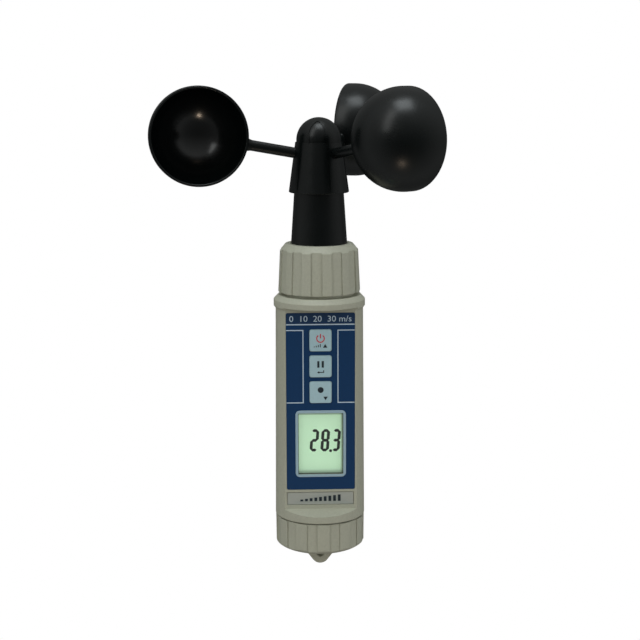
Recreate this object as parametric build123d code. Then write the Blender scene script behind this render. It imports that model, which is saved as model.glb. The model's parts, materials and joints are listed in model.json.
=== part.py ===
from build123d import *
import math
import os

# Handheld three-cup anemometer. All sizes are in millimetres.
# +Z runs up along the handle and the rotor shaft, the front panel faces -Y, and the
# origin is on the handle's axis at the middle of the grip.

# ---- general -------------------------------------------------------------
OVER = 1.0
FAR = 40.0
SLIP = 0.1
RUNNING = 0.05
SAME_POINT = 0.01

# ---- handle barrel -------------------------------------------------------
BARREL_BOTTOM = -50.3
BARREL_BOTTOM_R = 20.65
BARREL_TOP_R = 19.98
COLLAR_BASE = 46.8
COLLAR_R = 20.84
COLLAR_BAND_LOW = 47.9
COLLAR_BAND_HIGH = 50.8
COLLAR_TOP_R = 18.9
COLLAR_TOP = 52.9
COLLAR_ROUNDING = 0.4
BORE_R = 17.6
NECK_R = 16.0
NECK_TOP = 66.0
NECK_BORE_R = 12.5
NECK_BORE_START = 50.4
LOWER_NECK_R = 18.3
LOWER_NECK_BORE_R = 17.0
LOWER_NECK_END = -58.4
NECK_EDGE = 0.5
BORE_BOTTOM = -50.0
LOWER_BORE_TOP = -48.4
FLAT_Y = -12.25
FLAT_WALL_IN = -10.25
FLAT_TOP = 48.35
LEDGE_Z = -45.3
LEDGE_DROP = 1.6
THREAD_PITCH = 1.5
THREAD_DEPTH = 0.4
THREAD_OUT = 0.3
THREAD_ROOT = 2.1
THREAD_RUN_OUT = 1.2

# ---- front panel ---------------------------------------------------------
PANEL_W = 31.2
PANEL_TOP = 46.06
PANEL_BOTTOM = -36.07
PANEL_RECESS = 0.25
PANEL_THICK = 0.35
PANEL_CORNER = 0.8
KEY_Z = (33.5, 21.55, 9.6)
KEY_NAMES = ("power_key", "hold_key", "record_key")
KEY_SIZE = 10.0
KEY_CORNER = 1.0
KEY_EDGE = 0.25
KEY_GAP = 0.12
KEY_FRONT = -12.85
KEY_FLANGE = 11.6
KEY_FLANGE_Y = (-10.2, -9.7)
KEY_STEM_R = 1.4
KEY_STEM_TIP = -8.6
WINDOW_Z = -14.6
WINDOW_W = 20.6
WINDOW_H = 28.8
WINDOW_CORNER = 0.4
FRAME_W = 23.0
FRAME_TOP = 1.08
FRAME_BOTTOM = -30.13
FRAME_FRONT = -12.5
FRAME_CORNER = 2.1
FRAME_EDGE = 0.12
FRAME_FIT = 0.04
LENS_Y = (-12.15, -11.35)
GASKET_WALL = 0.2
GASKET_FIT = 0.03
PLATE_X = -0.2
PLATE_W = 30.7
PLATE_TOP = -37.3
PLATE_BOTTOM = -43.4
PLATE_POCKET = 0.7
PLATE_THICK = 0.5
PLATE_CORNER = 0.4
PLATE_SLIP = 0.5

# ---- electronics in the handle -------------------------------------------
BOARD_Y = (-7.4, -6.4)
BOARD_W = 30.0
BOARD_Z = (-35.5, 45.0)
BOARD_CORNER = 2.0
LCD_Y = (-10.2, -8.6)
LCD_W = 23.0
LCD_H = 31.0
HOLDER_W = 27.0
HOLDER_H = 34.4
HOLDER_CORNER = 1.0
BACKLIGHT_W = 22.0
BACKLIGHT_H = 24.0
BACKLIGHT_THICK = 0.8
STRIP_W = 21.0
STRIP_H = 2.0
STRIP_INSET = 1.5
SWITCH_Y = (-8.7, -7.4)
SWITCH_SIZE = 6.0
SWITCH_CORNER = 0.6
SWITCH_WELL_PLAY = 0.2
SWITCH_WELL_DEPTH = 0.6
BOSS_X = 11.0
BOSS_Z = (41.8, -33.8)
BOSS_R = 1.9
SCREW_R = 0.9
SCREW_FIT = 0.02
SCREW_PLAY = 0.15
SCREW_BITE = 0.6
SCREW_TIP_GAP = 0.4
SCREW_HEAD_R = 1.7
SCREW_HEAD_H = 1.2
CHIP_Z = 20.0
CHIP_SIZE = 12.0
CHIP_RISE = 0.2
CHIP_HEIGHT = 1.8
CHIP_LEGS_W = 14.0
CHIP_LEGS_H = 10.5
CHIP_LEGS_THICK = 0.4
CRYSTAL = (10.0, 24.0, 3.6, 10.0)
CRYSTAL_DEPTH = 2.6
CRYSTAL_CORNER = 1.6
REGULATOR = (-10.4, 12.0, 5.0, 4.0)
REGULATOR_DEPTH = 1.6
CAPACITOR_X = (-10.5, 10.5)
CAPACITOR_Z = 32.0
CAPACITOR_R = 2.4
CAPACITOR_DEPTH = 5.0
LEAD_SOCKET = (0.0, 38.5, 8.0, 6.0)
LEAD_SOCKET_DEPTH = 3.6
LEAD_SOCKET_CORNER = 0.3
SENSOR_LEAD_R = 1.1
SENSOR_LEAD_BENDS = ((0.0, 4.5, 64.0), (0.0, 2.5, 54.0), (0.0, -3.0, 47.0))

# ---- batteries -----------------------------------------------------------
CELL_R = 5.25
CELL_PITCH = 10.8
CELL_Y = 4.7
CELL_BOTTOM = -56.0
CELL_TOP = -11.5
CELL_NIB_R = 1.9
CELL_NIB_H = 0.8
CRADLE_TOP = -9.5
CRADLE_BOARD_GAP = 0.3
CRADLE_POST_W = 8.0
CRADLE_POST_BOTTOM = -55.0
CONTACT_R = 3.2
CONTACT_THICK = 0.4
LEAD_R = 0.6
LEAD_X = 6.0
LEAD_BENDS = ((6.2, 0.2, -4.0), (6.0, -2.0, 2.0))
LEAD_END_Z = 4.0
SPRING_WIRE_R = 0.28
SPRING_R = 2.7
SPRING_TURNS = 3
SPRING_CONE_DEG = -14
SPRING_GAP = 0.1

# ---- battery cap ---------------------------------------------------------
CAP_TOP = -50.7
CAP_TOP_R = 20.5
CAP_LOW_R = 20.4
CAP_BOTTOM = -65.95
CAP_UNDER_ARC_R = 9.7
CAP_EDGE_ARC_R = 1.0
CAP_UNDER_ARC_DEG = 40.0
CAP_INNER_END = -61.5
CAP_INNER_R = 17.2
CAP_SHOULDER_GAP = 0.3
CAP_FLUTE_DEPTH = 0.4
CAP_FLUTE_PHASE = 2.6
CAP_FLUTE_DEG = 13.5
LUG_THICK = 5.0
LUG_TIP = -74.95
LUG_TIP_R = 4.2
LUG_FLANK_DEG = 52.0
LUG_EDGE = 0.6
STRAP_HOLE_R = 1.6
STRAP_HOLE_Z = -70.25
SEAL_MINOR_R = 0.55
SEAL_R = 14.2
SEAL_FIT = 0.01
SEAL_POCKET_PLAY = 0.12
SEAL_POCKET_DEPTH = 0.9
DISC_Z = (-60.6, -59.4)
DISC_R = 16.6
DISC_GAP = 0.1
DISC_NOTCH_W = 6.0
DISC_NOTCH_DEPTH = 1.2
RIVET_R = 1.5
RIVET_END = -63.0
RIVET_HEAD_R = 2.0
RIVET_HEAD_H = 0.7
RIVET_BOSS_R = 4.0

# ---- coupling ring -------------------------------------------------------
RING_BOTTOM = 54.2
RING_BOTTOM_R = 18.7
RING_SHOULDER_Z = 73.15
RING_SHOULDER_R = 17.8
RING_TOP = 76.15
RING_TOP_R = 15.3
RING_ROUNDING = 0.5
RING_EDGE = 0.25
RING_HOLE_R = 12.95
RING_SEAT_Z = 69.7
RING_FLUTE_DEPTH = 0.6
RING_FLUTE_PHASE = 9.3
RING_FLUTE_DEG = 16.0
FLUTE_COUNT = 12
WASHER_R = 15.6
WASHER_GAP = 0.02

# ---- sensor column -------------------------------------------------------
FLANGE_R = 15.8
FLANGE_TOP = 69.0
SPIGOT_LENGTH = 3.0
COLUMN_LOW_R = 12.72
COLUMN_LOW_Z = 76.4
COLUMN_TOP_R = 11.2
COLUMN_TOP = 100.4
COLUMN_CHAMFER = (0.65, 1.0)
NOSE_R = 7.5
NOSE_TOP = 112.0
NOSE_EDGE = 0.5
SENSOR_BAY_R = 9.5
MAGNET_BAY_R = 8.0
MAGNET_BAY_TOP = 82.0
SPACER_BORE_R = 4.2
BEARING_OUT_R = 5.0
BEARING_W = 4.0
BEARING_Z = {"lower": 84.0, "upper": 106.0}
BALL_R = 0.794
BALL_PITCH_R = 3.25
BALL_COUNT = 7
RACE_GROOVE_R = 0.85
OUTER_RACE_IN_R = 3.75
INNER_RACE_OUT_R = 2.75
CAGE_R = (2.95, 3.55)
CAGE_HALF_H = 1.35
CAGE_POCKET_R = 0.9
RETAINER_IN_R = 3.3
RETAINER_THICK = 0.9
SPACER_R = 2.3
CLIP_Z = (83.2, 83.8)
CLIP_GROOVE_R = 1.2
CLIP_R = 2.9
CLIP_MOUTH = 1.9
MAGNET_R = 6.0
MAGNET_Z = (78.0, 80.8)
SHAFT_R = 1.5
SHAFT_Z = (77.6, 121.3)
HALL_BOARD_Z = (72.6, 73.8)
HALL_X = 4.6
HALL_SIZE = (4.0, 3.0, 1.4)
LEAD_HOLE_Y = 4.0
LEAD_HOLE_R = 1.3
PIN_HOLE_X = 6.6
PIN_HOLE_R = 0.9

# ---- rotor ---------------------------------------------------------------
HUB_BOTTOM = 99.2
HUB_BOTTOM_R = 13.58
HUB_TOP = 121.6
HUB_TOP_R = 10.6
HUB_WALL = 1.2
HUB_WEB_Z = 113.0
HUB_EDGE = 0.3
HUB_BOSS_R = 2.6
NUT_POCKET_R = 6.0
NUT_SEAT_Z = 118.0
NUT_R = 3.1
NUT_H = 2.4
DOME_R = 10.1
DOME_TOP = 132.65
DOME_WALL = 1.5
ROTOR_CAP_HOLE_R = 4.6
ROTOR_CAP_FLOOR = 0.8
ROTOR_CAP_PLUG = 2.4
PANEL_CENTRE_DEG = -14.0
PANEL_HALF_DEG = 33.0
GROOVE_START = 2.2
GROOVE_W = 1.1
GROOVE_DEPTH = 0.2
LEAF_CENTRE_DEG = -7.0
LEAF_DEPTH = 0.25
LEAF_HALF_W = 3.5
LEAF_SPRING = 2.6
LEAF_PEAK = 9.6
LEAF_BULGE = (0.72, 0.68)
ARM_ANGLES = (189.05, 309.05, 69.05)
ARM_ROOT_Z = 114.9
CUP_ORBIT_R = 54.05
CUP_CENTRE_Z = 124.8
CUP_R = 22.12
CUP_WALL = 1.2
CUP_LIP = 3.6
CUP_RIM_EDGE = 0.3
ARM_HALF_W = 1.9
ARM_HALF_H = 2.4
ARM_SPAN = (7.6, 32.4)
SOCKET_SPAN = (31.0, 33.5)
SOCKET_GROWTH = (0.25, 1.2)

ON_FLOOR = (Align.CENTER, Align.CENTER, Align.MIN)


def turned(points, soft=(), radius=0.0):
    """Solid of revolution about Z from a closed (radius, height) outline with its soft corners rounded."""
    outline = make_face(Polyline(*points, close=True))
    corners = []
    for r, z in soft:
        corners += [v for v in outline.vertices() if math.hypot(v.X - r, v.Y - z) < SAME_POINT]
    if corners:
        outline = fillet(corners, radius)
    return revolve(Plane.XZ * outline, Axis.Z)


def rod(radius, low, high):
    """Upright cylinder on the Z axis between two heights."""
    return Pos(0, 0, low) * Cylinder(radius, high - low, align=ON_FLOOR)


def tube(outer, inner, low, high):
    """Upright ring on the Z axis."""
    return rod(outer, low, high) - rod(inner, low - OVER, high + OVER)


def all_in_front(y):
    """One large block that covers everything in front of a depth."""
    return Pos(0, y - FAR / 2, 0) * Box(2 * FAR, FAR, 5 * FAR)


def front_block(x, z, width, height, y_front, y_back, corner=0.0):
    """Block seen from the front as a rectangle, between two depths."""
    if corner > 0:
        outline = RectangleRounded(width, height, corner)
    else:
        outline = Rectangle(width, height)
    plane = Plane.XZ.offset(-y_back)
    return extrude(plane * (Pos(x, z) * outline), amount=y_back - y_front)


def front_pin(x, z, radius, y_front, y_back):
    """Cylinder that lies along Y, between two depths."""
    plane = Plane.XZ.offset(-y_back)
    return extrude(plane * (Pos(x, z) * Circle(radius)), amount=y_back - y_front)


def about_z(shape, count, phase=0.0):
    """The same shape repeated evenly round the Z axis."""
    return [Rot(0, 0, phase + 360.0 / count * k) * shape for k in range(count)]


def flute_cutters(points, width_deg, phase):
    """Shallow recesses round a grip; one of the ribs between them is centred at the phase angle."""
    sector = revolve(Plane.XZ * make_face(Polyline(*points, close=True)), Axis.Z, width_deg)
    first = phase - 90.0 + 180.0 / FLUTE_COUNT - width_deg / 2
    return about_z(sector, FLUTE_COUNT, first)


def thread_groove(radius, low, high):
    """Helical V groove cut into a neck's outside."""
    path = Helix(THREAD_PITCH, high - low, radius)
    across = Plane(origin=path @ 0, x_dir=(1, 0, 0), z_dir=path % 0)
    half = THREAD_PITCH / 3
    profile = across * Polygon((THREAD_OUT, half), (-THREAD_DEPTH, 0), (THREAD_OUT, -half), align=None)
    return Pos(0, 0, low) * sweep(profile, path=path, is_frenet=True)


def joined(shapes):
    """Several separate solids kept as one group."""
    return Compound(children=[s.solids()[0] if len(s.solids()) == 1 else s for s in shapes])


# ---- handle ---------------------------------------------------------------

def handle_bore():
    """The round bore with one flat side behind the front panel, and the bores of both necks."""
    wide = rod(BORE_R, BORE_BOTTOM, NECK_BORE_START) - all_in_front(FLAT_WALL_IN)
    neck = rod(NECK_BORE_R, NECK_BORE_START - OVER, NECK_TOP + OVER)
    return wide + neck + rod(LOWER_NECK_BORE_R, LOWER_NECK_END - OVER, LOWER_BORE_TOP)


def front_cut():
    """The deep flat on the front, with a bottom ledge that slopes outward."""
    outside = 2 * FLAT_Y
    slope = LEDGE_DROP / (BARREL_BOTTOM_R + FLAT_Y)
    ledge_out = LEDGE_Z + slope * (outside - FLAT_Y)
    corners = [(FLAT_Y, LEDGE_Z), (FLAT_Y, FLAT_TOP), (outside, FLAT_TOP), (outside, ledge_out)]
    return extrude(Plane.YZ * make_face(Polyline(*corners, close=True)), amount=FAR, both=True)


def board_bosses():
    """Four screw bosses behind the front wall."""
    solids = []
    for z in BOSS_Z:
        for x in (-BOSS_X, BOSS_X):
            solids.append(front_pin(x, z, BOSS_R, FLAT_WALL_IN - OVER, BOARD_Y[0]))
    return solids


def barrel():
    body = turned([
        (0, LOWER_NECK_END), (LOWER_NECK_R - NECK_EDGE, LOWER_NECK_END),
        (LOWER_NECK_R, LOWER_NECK_END + NECK_EDGE), (LOWER_NECK_R, BARREL_BOTTOM),
        (BARREL_BOTTOM_R - NECK_EDGE, BARREL_BOTTOM), (BARREL_BOTTOM_R, BARREL_BOTTOM + NECK_EDGE),
        (BARREL_TOP_R, COLLAR_BASE), (COLLAR_R, COLLAR_BAND_LOW), (COLLAR_R, COLLAR_BAND_HIGH),
        (COLLAR_TOP_R, COLLAR_TOP), (NECK_R, COLLAR_TOP), (NECK_R, NECK_TOP), (0, NECK_TOP),
    ], [(COLLAR_R, COLLAR_BAND_HIGH), (COLLAR_TOP_R, COLLAR_TOP)], COLLAR_ROUNDING)
    body -= front_cut()
    body -= handle_bore()
    for boss in board_bosses():
        body += boss
    for z in BOSS_Z:
        for x in (-BOSS_X, BOSS_X):
            body -= front_pin(x, z, SCREW_R, FLAT_WALL_IN - SCREW_BITE, BOARD_Y[0] + OVER)
    panel_h = PANEL_TOP - PANEL_BOTTOM
    panel_z = (PANEL_TOP + PANEL_BOTTOM) / 2
    body -= front_block(0, panel_z, PANEL_W, panel_h, FLAT_Y - OVER, FLAT_Y + PANEL_RECESS, PANEL_CORNER)
    plate_h = PLATE_TOP - PLATE_BOTTOM
    plate_z = (PLATE_TOP + PLATE_BOTTOM) / 2
    pocket_floor = FLAT_Y + PLATE_POCKET
    body -= front_block(PLATE_X, plate_z, PLATE_W, plate_h, FLAT_Y - OVER, pocket_floor, PLATE_CORNER)
    behind = FLAT_WALL_IN + OVER
    body -= front_block(0, WINDOW_Z, WINDOW_W, WINDOW_H, FLAT_Y - OVER, behind, WINDOW_CORNER)
    hole = KEY_SIZE + 2 * KEY_GAP
    for z in KEY_Z:
        body -= front_block(0, z, hole, hole, FLAT_Y - OVER, behind, KEY_CORNER)
    body -= thread_groove(NECK_R, COLLAR_TOP + THREAD_ROOT, NECK_TOP - THREAD_RUN_OUT)
    body -= thread_groove(LOWER_NECK_R, LOWER_NECK_END + THREAD_RUN_OUT, BARREL_BOTTOM - THREAD_ROOT)
    groove_half = SEAL_MINOR_R + RUNNING
    seal_low = NECK_TOP - 2 * SEAL_MINOR_R
    return body - tube(SEAL_R + groove_half, SEAL_R - groove_half, seal_low, NECK_TOP + OVER)


def front_overlay():
    panel_h = PANEL_TOP - PANEL_BOTTOM
    panel_z = (PANEL_TOP + PANEL_BOTTOM) / 2
    back = FLAT_Y + PANEL_RECESS
    sheet = front_block(0, panel_z, PANEL_W - SLIP, panel_h - SLIP, back - PANEL_THICK, back, PANEL_CORNER)
    hole = KEY_SIZE + 2 * KEY_GAP
    for z in KEY_Z:
        sheet -= front_block(0, z, hole, hole, back - OVER, back + OVER, KEY_CORNER)
    frame_h = FRAME_TOP - FRAME_BOTTOM
    frame_z = (FRAME_TOP + FRAME_BOTTOM) / 2
    wide = FRAME_W + FRAME_FIT
    return sheet - front_block(0, frame_z, wide, frame_h + FRAME_FIT, back - OVER, back + OVER, FRAME_CORNER)


def window_frame():
    frame_h = FRAME_TOP - FRAME_BOTTOM
    frame_z = (FRAME_TOP + FRAME_BOTTOM) / 2
    back = FLAT_Y + PANEL_RECESS
    bezel = front_block(0, frame_z, FRAME_W, frame_h, FRAME_FRONT, back, FRAME_CORNER)
    bezel = chamfer(bezel.faces().sort_by(Axis.Y)[0].edges(), FRAME_EDGE)
    front = FRAME_FRONT - OVER
    return bezel - front_block(0, WINDOW_Z, WINDOW_W, WINDOW_H, front, back + OVER, WINDOW_CORNER)


def window_lens():
    return front_block(0, WINDOW_Z, WINDOW_W - SLIP, WINDOW_H - SLIP, LENS_Y[0], LENS_Y[1], WINDOW_CORNER)


def window_gasket():
    """Dark foam liner round the window opening, between the lens and the display."""
    front = LENS_Y[1] + GASKET_FIT
    back = LCD_Y[0] - GASKET_FIT
    wide = WINDOW_W - 2 * GASKET_FIT
    tall = WINDOW_H - 2 * GASKET_FIT
    outer = front_block(0, WINDOW_Z, wide, tall, front, back, WINDOW_CORNER)
    wide -= 2 * GASKET_WALL
    tall -= 2 * GASKET_WALL
    return outer - front_block(0, WINDOW_Z, wide, tall, front - OVER, back + OVER, WINDOW_CORNER)


def name_plate():
    plate_h = PLATE_TOP - PLATE_BOTTOM
    plate_z = (PLATE_TOP + PLATE_BOTTOM) / 2
    back = FLAT_Y + PLATE_POCKET
    wide = PLATE_W - PLATE_SLIP
    return front_block(PLATE_X, plate_z, wide, plate_h - PLATE_SLIP, back - PLATE_THICK, back, PLATE_CORNER)


def key(z):
    """Push key: cap in the panel, retaining flange behind the wall, stem to the switch."""
    cap = front_block(0, z, KEY_SIZE, KEY_SIZE, KEY_FRONT, KEY_FLANGE_Y[0], KEY_CORNER)
    cap = fillet(cap.faces().sort_by(Axis.Y)[0].edges(), KEY_EDGE)
    cap += front_block(0, z, KEY_FLANGE, KEY_FLANGE, KEY_FLANGE_Y[0], KEY_FLANGE_Y[1], KEY_CORNER)
    return cap + front_pin(0, z, KEY_STEM_R, KEY_FLANGE_Y[1], KEY_STEM_TIP)


def main_board():
    height = BOARD_Z[1] - BOARD_Z[0]
    middle = (BOARD_Z[0] + BOARD_Z[1]) / 2
    board = front_block(0, middle, BOARD_W, height, BOARD_Y[0], BOARD_Y[1], BOARD_CORNER)
    for z in BOSS_Z:
        for x in (-BOSS_X, BOSS_X):
            board -= front_pin(x, z, SCREW_R + SCREW_PLAY, BOARD_Y[0] - OVER, BOARD_Y[1] + OVER)
    return board


def board_screws():
    tip = FLAT_WALL_IN - SCREW_BITE + SCREW_TIP_GAP
    back = BOARD_Y[1]
    screws = []
    for z in BOSS_Z:
        for x in (-BOSS_X, BOSS_X):
            shank = front_pin(x, z, SCREW_R - SCREW_FIT, tip, back)
            screws.append(shank + front_pin(x, z, SCREW_HEAD_R, back, back + SCREW_HEAD_H))
    return joined(screws)


def key_switches():
    """Three low tact switches on the front of the board, each with a well for the key stem."""
    front, back = SWITCH_Y
    well_r = KEY_STEM_R + SWITCH_WELL_PLAY
    bases = []
    for z in KEY_Z:
        base = front_block(0, z, SWITCH_SIZE, SWITCH_SIZE, front, back, SWITCH_CORNER)
        bases.append(base - front_pin(0, z, well_r, front - OVER, front + SWITCH_WELL_DEPTH))
    return joined(bases)


def controller_chip():
    back = BOARD_Y[1]
    body = front_block(0, CHIP_Z, CHIP_SIZE, CHIP_SIZE, back + CHIP_RISE, back + CHIP_HEIGHT)
    return body + front_block(0, CHIP_Z, CHIP_LEGS_W, CHIP_LEGS_H, back, back + CHIP_LEGS_THICK)


def board_parts():
    """Small parts on the back of the board: crystal, two capacitors and a regulator."""
    back = BOARD_Y[1]
    crystal = front_block(*CRYSTAL, back, back + CRYSTAL_DEPTH, CRYSTAL_CORNER)
    regulator = front_block(*REGULATOR, back, back + REGULATOR_DEPTH)
    capacitors = [front_pin(x, CAPACITOR_Z, CAPACITOR_R, back, back + CAPACITOR_DEPTH) for x in CAPACITOR_X]
    return joined([crystal, regulator] + capacitors)


def lcd_glass():
    return front_block(0, WINDOW_Z, LCD_W, LCD_H, LCD_Y[0], LCD_Y[1])


def lcd_backlight():
    return front_block(0, WINDOW_Z, BACKLIGHT_W, BACKLIGHT_H, LCD_Y[1], LCD_Y[1] + BACKLIGHT_THICK)


def lcd_holder():
    """Moulded frame that carries the display between the front wall and the board."""
    front = LCD_Y[0]
    back = BOARD_Y[0]
    body = front_block(0, WINDOW_Z, HOLDER_W, HOLDER_H, front, back, HOLDER_CORNER)
    return body - front_block(0, WINDOW_Z, LCD_W + SLIP, LCD_H + SLIP, front - OVER, back + OVER)


def contact_strips():
    """Two conductive rubber strips from the display's edge to the board."""
    low = WINDOW_Z - LCD_H / 2 + STRIP_INSET
    high = WINDOW_Z + LCD_H / 2 - STRIP_INSET
    return joined([front_block(0, z, STRIP_W, STRIP_H, LCD_Y[1], BOARD_Y[0]) for z in (low, high)])


def cell_places():
    half = CELL_PITCH / 2
    return [(x, CELL_Y + y) for x in (-half, half) for y in (-half, half)]


def battery_cradle():
    """Moulded post between the cells with a plate over their upper ends."""
    plate_low = CELL_TOP + CONTACT_THICK
    plate = rod(BORE_R - SLIP, plate_low, CRADLE_TOP) - all_in_front(BOARD_Y[1] + CRADLE_BOARD_GAP)
    length = plate_low + OVER - CRADLE_POST_BOTTOM
    post = Pos(0, CELL_Y, CRADLE_POST_BOTTOM) * Box(CRADLE_POST_W, CRADLE_POST_W, length, align=ON_FLOOR)
    for x, y in cell_places():
        post -= Pos(x, y, 0) * rod(CELL_R + SLIP, CELL_BOTTOM, plate_low)
    return plate + post


def cell(up):
    """One AAA cell with its raised terminal at the top or at the bottom."""
    if up:
        nib_low = CELL_TOP - CELL_NIB_H
        return rod(CELL_R, CELL_BOTTOM, nib_low) + rod(CELL_NIB_R, nib_low, CELL_TOP)
    nib_high = CELL_BOTTOM + CELL_NIB_H
    return rod(CELL_R, nib_high, CELL_TOP) + rod(CELL_NIB_R, CELL_BOTTOM, nib_high)


def battery_cells():
    return joined([Pos(x, y, 0) * cell(x * (y - CELL_Y) > 0) for x, y in cell_places()])


def battery_contacts():
    contact = rod(CONTACT_R, CELL_TOP, CELL_TOP + CONTACT_THICK)
    return joined([Pos(x, y, 0) * contact for x, y in cell_places()])


def wire(points, radius, start, end):
    """Round wire along a smooth route with given directions at both ends."""
    route = Spline(*points, tangents=(start, end))
    section = Plane(origin=route @ 0, z_dir=route % 0) * Circle(radius)
    return sweep(section, path=route)


def battery_leads():
    leads = []
    points = [(LEAD_X, 0, CRADLE_TOP), *LEAD_BENDS, (LEAD_X, BOARD_Y[1], LEAD_END_Z)]
    for side in (-1, 1):
        leads.append(wire([(side * x, y, z) for x, y, z in points], LEAD_R, (0, 0, 1), (0, -1, 0)))
    return joined(leads)


def sensor_lead():
    """Cable from the sensor's board down to the socket on the main board."""
    x, z, width, height = LEAD_SOCKET
    end = (x, BOARD_Y[1] + LEAD_SOCKET_DEPTH / 2, z + height / 2)
    points = [(0, LEAD_HOLE_Y, HALL_BOARD_Z[0]), *SENSOR_LEAD_BENDS, end]
    return wire(points, SENSOR_LEAD_R, (0, 0, -1), (0, 0, -1))


def lead_socket():
    return front_block(*LEAD_SOCKET, BOARD_Y[1], BOARD_Y[1] + LEAD_SOCKET_DEPTH, LEAD_SOCKET_CORNER)


def cap_seal():
    centre_r = LOWER_NECK_R + SEAL_MINOR_R + SEAL_FIT
    return Pos(0, 0, BARREL_BOTTOM - SEAL_MINOR_R - 2 * SEAL_FIT) * Torus(centre_r, SEAL_MINOR_R)


# ---- battery cap -----------------------------------------------------------

def lug():
    """Fin under the cap with straight sloping flanks and a round tip, without its strap hole."""
    flank = math.radians(LUG_FLANK_DEG)
    tip_w = LUG_TIP_R * math.sin(flank)
    tip_z = LUG_TIP + LUG_TIP_R * (1 - math.cos(flank))
    root_z = CAP_BOTTOM + OVER
    root_w = tip_w + (root_z - tip_z) / math.tan(flank)
    edge = Polyline((-tip_w, tip_z), (-root_w, root_z), (root_w, root_z), (tip_w, tip_z))
    tip = ThreePointArc((tip_w, tip_z), (0, LUG_TIP), (-tip_w, tip_z))
    fin = extrude(Plane.XZ * make_face([edge, tip]), amount=LUG_THICK / 2, both=True)
    front = fin.faces().sort_by(Axis.Y)[0].edges()
    back = fin.faces().sort_by(Axis.Y)[-1].edges()
    soft = [e for e in front + back if e.center().Z < root_z - SAME_POINT]
    return fillet(soft, LUG_EDGE)


def cap_blank():
    """The cap's outside: a wide shallow arc under it that runs into a tight arc at its edge."""
    edge_r = CAP_EDGE_ARC_R

    def under_point(degrees):
        a = math.radians(degrees)
        return (under_x + CAP_UNDER_ARC_R * math.sin(a), CAP_BOTTOM + CAP_UNDER_ARC_R * (1 - math.cos(a)))

    turn = math.radians(CAP_UNDER_ARC_DEG)
    under_x = CAP_LOW_R - edge_r + (edge_r - CAP_UNDER_ARC_R) * math.sin(turn)
    edge_z = CAP_BOTTOM + CAP_UNDER_ARC_R + (edge_r - CAP_UNDER_ARC_R) * math.cos(turn)
    half_turn = (turn + math.pi / 2) / 2
    edge_middle = (CAP_LOW_R - edge_r + edge_r * math.sin(half_turn), edge_z - edge_r * math.cos(half_turn))
    floor = Line((0, CAP_BOTTOM), under_point(0))
    under = ThreePointArc(under_point(0), under_point(CAP_UNDER_ARC_DEG / 2), under_point(CAP_UNDER_ARC_DEG))
    edge = ThreePointArc(under_point(CAP_UNDER_ARC_DEG), edge_middle, (CAP_LOW_R, edge_z))
    side = Polyline((CAP_LOW_R, edge_z), (CAP_TOP_R, CAP_TOP), (0, CAP_TOP), (0, CAP_BOTTOM))
    return revolve(Plane.XZ * make_face([floor, under, edge, side]), Axis.Z)


def battery_cap():
    body = cap_blank()
    floor_r = CAP_LOW_R - CAP_FLUTE_DEPTH
    low = CAP_BOTTOM - OVER
    high = CAP_TOP + OVER
    beyond = [(floor_r, low), (FAR, low), (FAR, high), (floor_r, high)]
    for cutter in flute_cutters(beyond, CAP_FLUTE_DEG, CAP_FLUTE_PHASE):
        body -= cutter
    body -= rod(LOWER_NECK_R + RUNNING, LOWER_NECK_END - CAP_SHOULDER_GAP, high)
    body -= rod(CAP_INNER_R, CAP_INNER_END, LOWER_NECK_END)
    body -= rod(LOWER_NECK_R + 2 * SEAL_MINOR_R + SEAL_POCKET_PLAY, CAP_TOP - SEAL_POCKET_DEPTH, high)
    body += rod(RIVET_BOSS_R, CAP_INNER_END - OVER, DISC_Z[0] - DISC_GAP)
    body += lug()
    body -= rod(RIVET_R, RIVET_END, CAP_TOP)
    return body - front_pin(0, STRAP_HOLE_Z, STRAP_HOLE_R, -LUG_THICK, LUG_THICK)


def cap_rivet():
    head_z = DISC_Z[1] + DISC_GAP
    return rod(RIVET_R, RIVET_END, head_z) + rod(RIVET_HEAD_R, head_z, head_z + RIVET_HEAD_H)


def contact_disc():
    disc = tube(DISC_R, RIVET_R + RUNNING, DISC_Z[0], DISC_Z[1])
    notch = Pos(0, -DISC_R, 0) * Box(DISC_NOTCH_W, 2 * DISC_NOTCH_DEPTH, 5 * FAR)
    return disc - notch


def battery_springs():
    """Four conical contact springs on the disc."""
    height = CELL_BOTTOM - DISC_Z[1] - 2 * SPRING_WIRE_R - SPRING_GAP
    springs = []
    for x, y in cell_places():
        path = Helix(height / SPRING_TURNS, height, SPRING_R, cone_angle=SPRING_CONE_DEG)
        section = Plane(origin=path @ 0, z_dir=path % 0) * Circle(SPRING_WIRE_R)
        coil = sweep(section, path=path, is_frenet=True)
        springs.append(Pos(x, y, DISC_Z[1] + SPRING_WIRE_R) * coil)
    return joined(springs)


# ---- coupling ring and sensor column ----------------------------------------

def coupling_ring():
    body = turned([
        (0, RING_BOTTOM), (RING_BOTTOM_R - RING_EDGE, RING_BOTTOM), (RING_BOTTOM_R, RING_BOTTOM + RING_EDGE),
        (RING_SHOULDER_R, RING_SHOULDER_Z), (RING_TOP_R, RING_TOP), (0, RING_TOP),
    ], [(RING_SHOULDER_R, RING_SHOULDER_Z), (RING_TOP_R, RING_TOP)], RING_ROUNDING)
    low_r = RING_BOTTOM_R - RING_FLUTE_DEPTH
    high_r = RING_SHOULDER_R - RING_FLUTE_DEPTH
    low = RING_BOTTOM - OVER
    high = RING_TOP + OVER
    beyond = [(low_r, low), (FAR, low), (FAR, high), (high_r, high)]
    for cutter in flute_cutters(beyond, RING_FLUTE_DEG, RING_FLUTE_PHASE):
        body -= cutter
    body -= rod(NECK_R + RUNNING, low, RING_SEAT_Z)
    return body - rod(RING_HOLE_R, RING_SEAT_Z - OVER, high)


def ring_washer():
    return tube(WASHER_R, RING_HOLE_R + SLIP, FLANGE_TOP + WASHER_GAP, RING_SEAT_Z - WASHER_GAP)


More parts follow.
